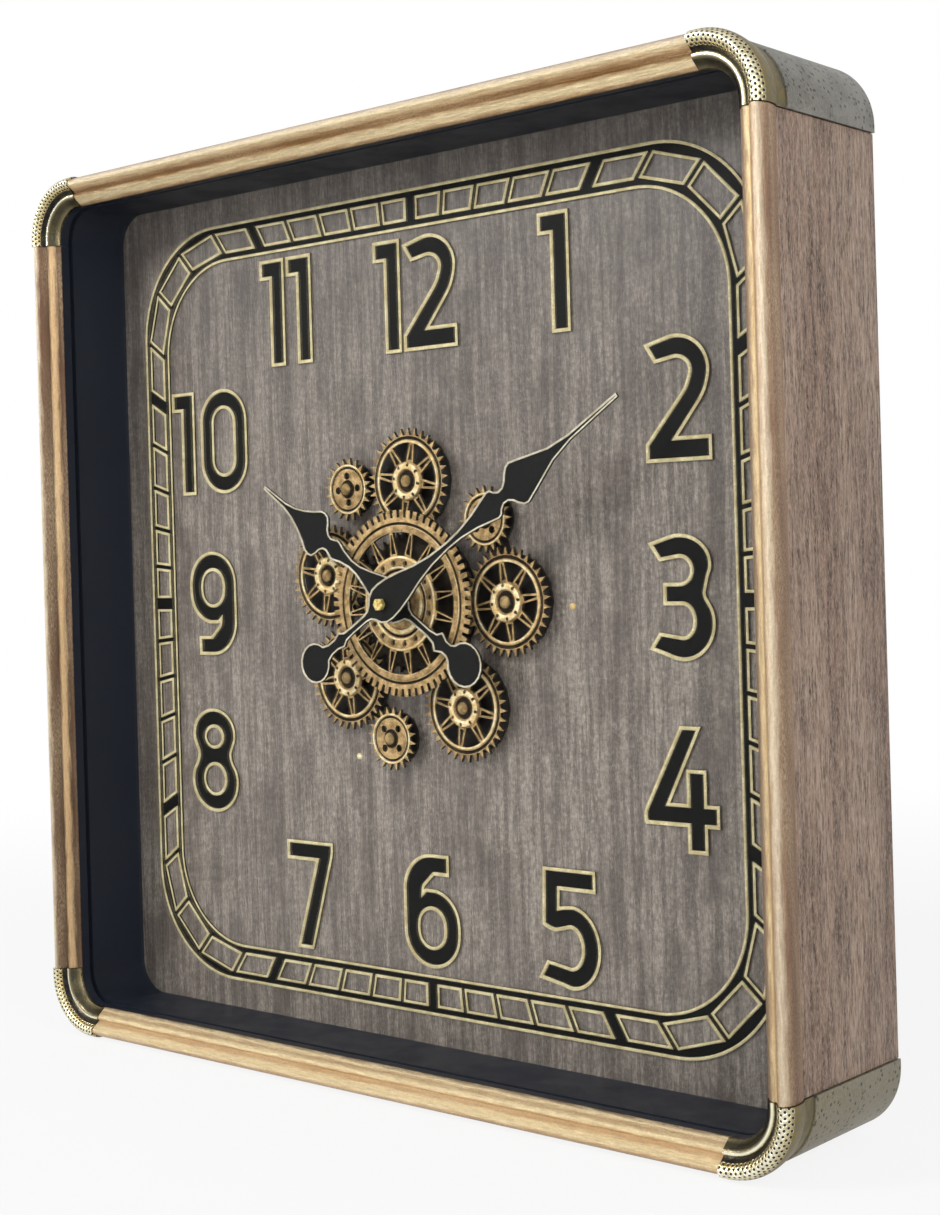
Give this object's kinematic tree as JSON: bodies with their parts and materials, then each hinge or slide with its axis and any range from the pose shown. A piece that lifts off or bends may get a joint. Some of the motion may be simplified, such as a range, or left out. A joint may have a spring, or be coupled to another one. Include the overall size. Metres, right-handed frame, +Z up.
{
  "type": "wall clock",
  "caption": "Square wall clock with a beaded metal frame, corner castings, wooden sides, a raised minute track, numerals, hands and an open train of turning gears.",
  "frame": {"origin": "on the outer face of the back panel, the plane that lies on the wall, straight behind the axis of the hands", "axes": "+Y points from the front of the clock into the wall, +Z is up, +X is to the right as seen from the front"},
  "size_m": [0.6106, 0.12, 0.6022],
  "materials": {
    "moulding": "antiqued copper-bronze, brushed and rubbed bright on the beads",
    "elbow": "bright pale brass with dark pits",
    "side_board": "brown-grey stained, long grain, satin",
    "casting": "hammered pewter-bronze, satin",
    "glass": "clear, polished",
    "liner": "black satin paint",
    "dial": "grey-brown fine grain, glossy",
    "black_trim": "black enamel with a thin raised gold edge",
    "gear": "antique gold, satin",
    "steel": "zinc plated",
    "housing": "black moulded, fine texture",
    "cell": "printed sleeve, satin, bare of text",
    "rear_board": "bare fibre board"
  },
  "bodies": {
    "case": {"rail_top": "moulding", "rail_right": "moulding", "rail_bottom": "moulding", "rail_left": "moulding", "elbow_top_right": "elbow", "elbow_top_left": "elbow", "elbow_bottom_right": "elbow", "elbow_bottom_left": "elbow", "board_top": "side_board", "board_right": "side_board", "board_bottom": "side_board", "board_left": "side_board", "casting_top_right": "casting", "casting_top_left": "casting", "casting_bottom_right": "casting", "casting_bottom_left": "casting", "glass_pane": "glass", "liner": "liner", "dial_panel": "dial", "minute_track": "black_trim", "numeral_01": "black_trim", "numeral_02": "black_trim", "numeral_03": "black_trim", "numeral_04": "black_trim", "numeral_05": "black_trim", "numeral_06": "black_trim", "numeral_07": "black_trim", "numeral_08": "black_trim", "numeral_09": "black_trim", "numeral_10_tens": "black_trim", "numeral_10_units": "black_trim", "numeral_11_tens": "black_trim", "numeral_11_units": "black_trim", "numeral_12_tens": "black_trim", "numeral_12_units": "black_trim", "mechanism_plate": "black_trim", "centre_bush": "steel", "movement_case": "housing", "movement_cell": "cell", "motor_case": "housing", "batten_frame": "rear_board", "back_panel": "rear_board", "keyhole_left": "steel", "keyhole_right": "steel"},
    "centre_gears": {"gear_centre": "gear", "gear_rear": "black_trim"},
    "gear_top": {"satellite_top": "gear"},
    "gear_right": {"satellite_right": "gear"},
    "gear_lower_right": {"satellite_lower_right": "gear"},
    "gear_lower_left": {"satellite_lower_left": "gear"},
    "gear_left": {"satellite_left": "gear"},
    "pinion_upper_left": {"small_gear_upper_left": "gear"},
    "pinion_upper_right": {"small_gear_upper_right": "gear"},
    "pinion_bottom": {"small_gear_bottom": "gear"},
    "minute_hand_group": {"minute_hand": "black_trim", "hand_nut": "gear"},
    "hour_hand_group": {"hour_hand": "black_trim"},
    "knob": {"set_knob": "housing"},
    "lid": {"motor_lid": "housing"},
    "switch": {"switch_slider": "steel"}
  },
  "joints": [
    {"name": "centre_gear_turn", "type": "hinge", "parent": "case", "child": "centre_gears", "pos_m": [0, -0.0645, 0], "axis": [0, 1, 0], "continuous": true},
    {"name": "satellite_top_turn", "type": "hinge", "parent": "case", "child": "gear_top", "pos_m": [-0.00202, -0.05725, 0.07697], "axis": [0, 1, 0], "continuous": true},
    {"name": "satellite_right_turn", "type": "hinge", "parent": "case", "child": "gear_right", "pos_m": [0.077, -0.05725, 0], "axis": [0, 1, 0], "continuous": true},
    {"name": "satellite_lower_right_turn", "type": "hinge", "parent": "case", "child": "gear_lower_right", "pos_m": [0.04046, -0.05725, -0.06551], "axis": [0, 1, 0], "continuous": true},
    {"name": "satellite_lower_left_turn", "type": "hinge", "parent": "case", "child": "gear_lower_left", "pos_m": [-0.05959, -0.05725, -0.04877], "axis": [0, 1, 0], "continuous": true},
    {"name": "satellite_left_turn", "type": "hinge", "parent": "case", "child": "gear_left", "pos_m": [-0.07487, -0.05725, 0.01798], "axis": [0, 1, 0], "continuous": true},
    {"name": "small_gear_upper_left_turn", "type": "hinge", "parent": "case", "child": "pinion_upper_left", "pos_m": [-0.05524, -0.05725, 0.074], "axis": [0, 1, 0], "continuous": true},
    {"name": "small_gear_upper_right_turn", "type": "hinge", "parent": "case", "child": "pinion_upper_right", "pos_m": [0.06115, -0.05725, 0.0509], "axis": [0, 1, 0], "continuous": true},
    {"name": "small_gear_bottom_turn", "type": "hinge", "parent": "case", "child": "pinion_bottom", "pos_m": [-0.02249, -0.05725, -0.08705], "axis": [0, 1, 0], "continuous": true},
    {"name": "minute_hand_turn", "type": "hinge", "parent": "case", "child": "minute_hand_group", "pos_m": [0, -0.088, 0], "axis": [0, 1, 0], "continuous": true},
    {"name": "hour_hand_turn", "type": "hinge", "parent": "case", "child": "hour_hand_group", "pos_m": [0, -0.0755, 0], "axis": [0, 1, 0], "continuous": true},
    {"name": "set_knob_turn", "type": "hinge", "parent": "case", "child": "knob", "pos_m": [0, -0.0263, -0.0135], "axis": [0, 1, 0], "continuous": true},
    {"name": "motor_lid_slide", "type": "slide", "parent": "case", "child": "lid", "axis": [1, 0, 0], "range_m": [0, 0.04]},
    {"name": "switch_slide", "type": "slide", "parent": "case", "child": "switch", "axis": [1, 0, 0], "range_m": [0, 0.004]}
  ],
  "couplings": [
    {"joint": "satellite_top_turn", "follows": "centre_gear_turn", "ratio": -1.2941},
    {"joint": "satellite_right_turn", "follows": "centre_gear_turn", "ratio": -1.2941},
    {"joint": "satellite_lower_right_turn", "follows": "centre_gear_turn", "ratio": -1.2941},
    {"joint": "satellite_lower_left_turn", "follows": "centre_gear_turn", "ratio": -1.2941},
    {"joint": "satellite_left_turn", "follows": "centre_gear_turn", "ratio": -1.2941},
    {"joint": "small_gear_upper_left_turn", "follows": "centre_gear_turn", "ratio": 2.2},
    {"joint": "small_gear_upper_right_turn", "follows": "centre_gear_turn", "ratio": 2.2},
    {"joint": "small_gear_bottom_turn", "follows": "centre_gear_turn", "ratio": 2.2},
    {"joint": "hour_hand_turn", "follows": "minute_hand_turn", "ratio": 0.083333},
    {"joint": "set_knob_turn", "follows": "minute_hand_turn", "ratio": -0.33333}
  ]
}
